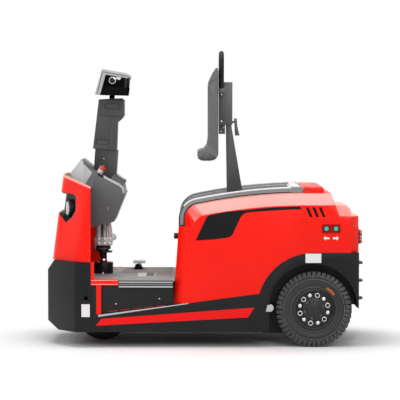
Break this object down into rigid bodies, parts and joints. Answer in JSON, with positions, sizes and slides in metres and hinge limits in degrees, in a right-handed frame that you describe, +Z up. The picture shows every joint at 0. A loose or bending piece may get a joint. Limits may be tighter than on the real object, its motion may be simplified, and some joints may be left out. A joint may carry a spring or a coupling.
{
  "type": "tow tractor",
  "caption": "Stand-on electric tow tractor with a steered front wheel, low step-through platform, red bodywork, hinged bonnet, sliding backrest and a rear tow coupling.",
  "frame": {"origin": "on the ground under the middle of the overall box", "axes": "+X towards the rear of the vehicle, +Y towards its right side, +Z up"},
  "size_m": [1.764, 0.82, 1.627],
  "materials": {
    "red_paint": "gloss red paint",
    "black_paint": "satin black powder coat",
    "grey_plastic": "fine-grained dark grey plastic",
    "black_plastic": "matt black plastic",
    "floor_rubber": "ribbed black rubber",
    "tyre": "black tyre rubber",
    "rim_paint": "gloss black paint",
    "bare_steel": "bare machined steel",
    "guard_grey": "light grey plastic",
    "lamp_lens": "clear lamp lens",
    "tail_lens": "red lamp lens",
    "stop_red": "red push button",
    "jog_green": "green push buttons",
    "pad_vinyl": "black vinyl",
    "battery_case": "dark grey case",
    "axle_iron": "painted cast iron"
  },
  "bodies": {
    "chassis": {"front_bumper": "black_paint", "left_skirt": "black_paint", "right_skirt": "black_paint", "cross_members": "black_paint", "floor_mat": "floor_rubber", "step_panels": "black_plastic", "step_frames": "red_paint", "front_cowl": "red_paint", "lamp_fascia": "black_plastic", "headlamps": "lamp_lens", "console": "grey_plastic", "stop_button": "stop_red", "steering_column": "grey_plastic", "steering_gear": "bare_steel", "steer_seat": "black_paint", "pedals": "bare_steel", "left_side_panel": "red_paint", "right_side_panel": "red_paint", "bulkhead": "red_paint", "rear_cowl": "red_paint", "hinge_pin": "bare_steel", "wheel_houses": "black_plastic", "battery": "battery_case", "rear_axle": "axle_iron", "tow_coupling": "black_paint", "coupling_pin": "bare_steel", "tail_lamps": "tail_lens", "jog_buttons": "jog_green"},
    "rear_left_wheel": {"left_rim": "rim_paint", "left_tyre": "tyre"},
    "rear_right_wheel": {"right_rim": "rim_paint", "right_tyre": "tyre"},
    "front_fork": {"steer_fork": "black_paint"},
    "front_wheel": {"front_rim": "rim_paint", "front_tyre": "tyre"},
    "steering_head": {"head_hub": "black_plastic", "hand_guards": "guard_grey", "hand_grips": "black_plastic"},
    "bonnet": {"bonnet_lid": "grey_plastic", "backrest_mast": "black_paint"},
    "backrest": {"backrest_bracket": "black_paint", "back_pad": "pad_vinyl", "grab_hoop": "black_paint"}
  },
  "joints": [
    {"name": "rear_left_spin", "type": "hinge", "parent": "chassis", "child": "rear_left_wheel", "pos_m": [0.586, -0.329, 0.2075], "axis": [0, 1, 0], "continuous": true},
    {"name": "rear_right_spin", "type": "hinge", "parent": "chassis", "child": "rear_right_wheel", "pos_m": [0.586, 0.329, 0.2075], "axis": [0, 1, 0], "continuous": true},
    {"name": "fork_steer", "type": "hinge", "parent": "chassis", "child": "front_fork", "pos_m": [-0.584, 0, 0.15], "axis": [0, 0, 1], "range_deg": [-75, 75]},
    {"name": "front_wheel_spin", "type": "hinge", "parent": "front_fork", "child": "front_wheel", "pos_m": [-0.584, 0, 0.15], "axis": [0, 1, 0], "continuous": true},
    {"name": "head_steer", "type": "hinge", "parent": "chassis", "child": "steering_head", "pos_m": [-0.584, 0, 0.64], "axis": [0.0698, 0, 0.9976], "range_deg": [-75, 75]},
    {"name": "bonnet_hinge", "type": "hinge", "parent": "chassis", "child": "bonnet", "pos_m": [0.545, 0, 0.8575], "axis": [0, 1, 0], "range_deg": [0, 60]},
    {"name": "backrest_slide", "type": "slide", "parent": "bonnet", "child": "backrest", "axis": [0, 0, 1], "range_m": [0, 0.08]}
  ],
  "couplings": [
    {"joint": "fork_steer", "follows": "head_steer", "ratio": 1}
  ]
}
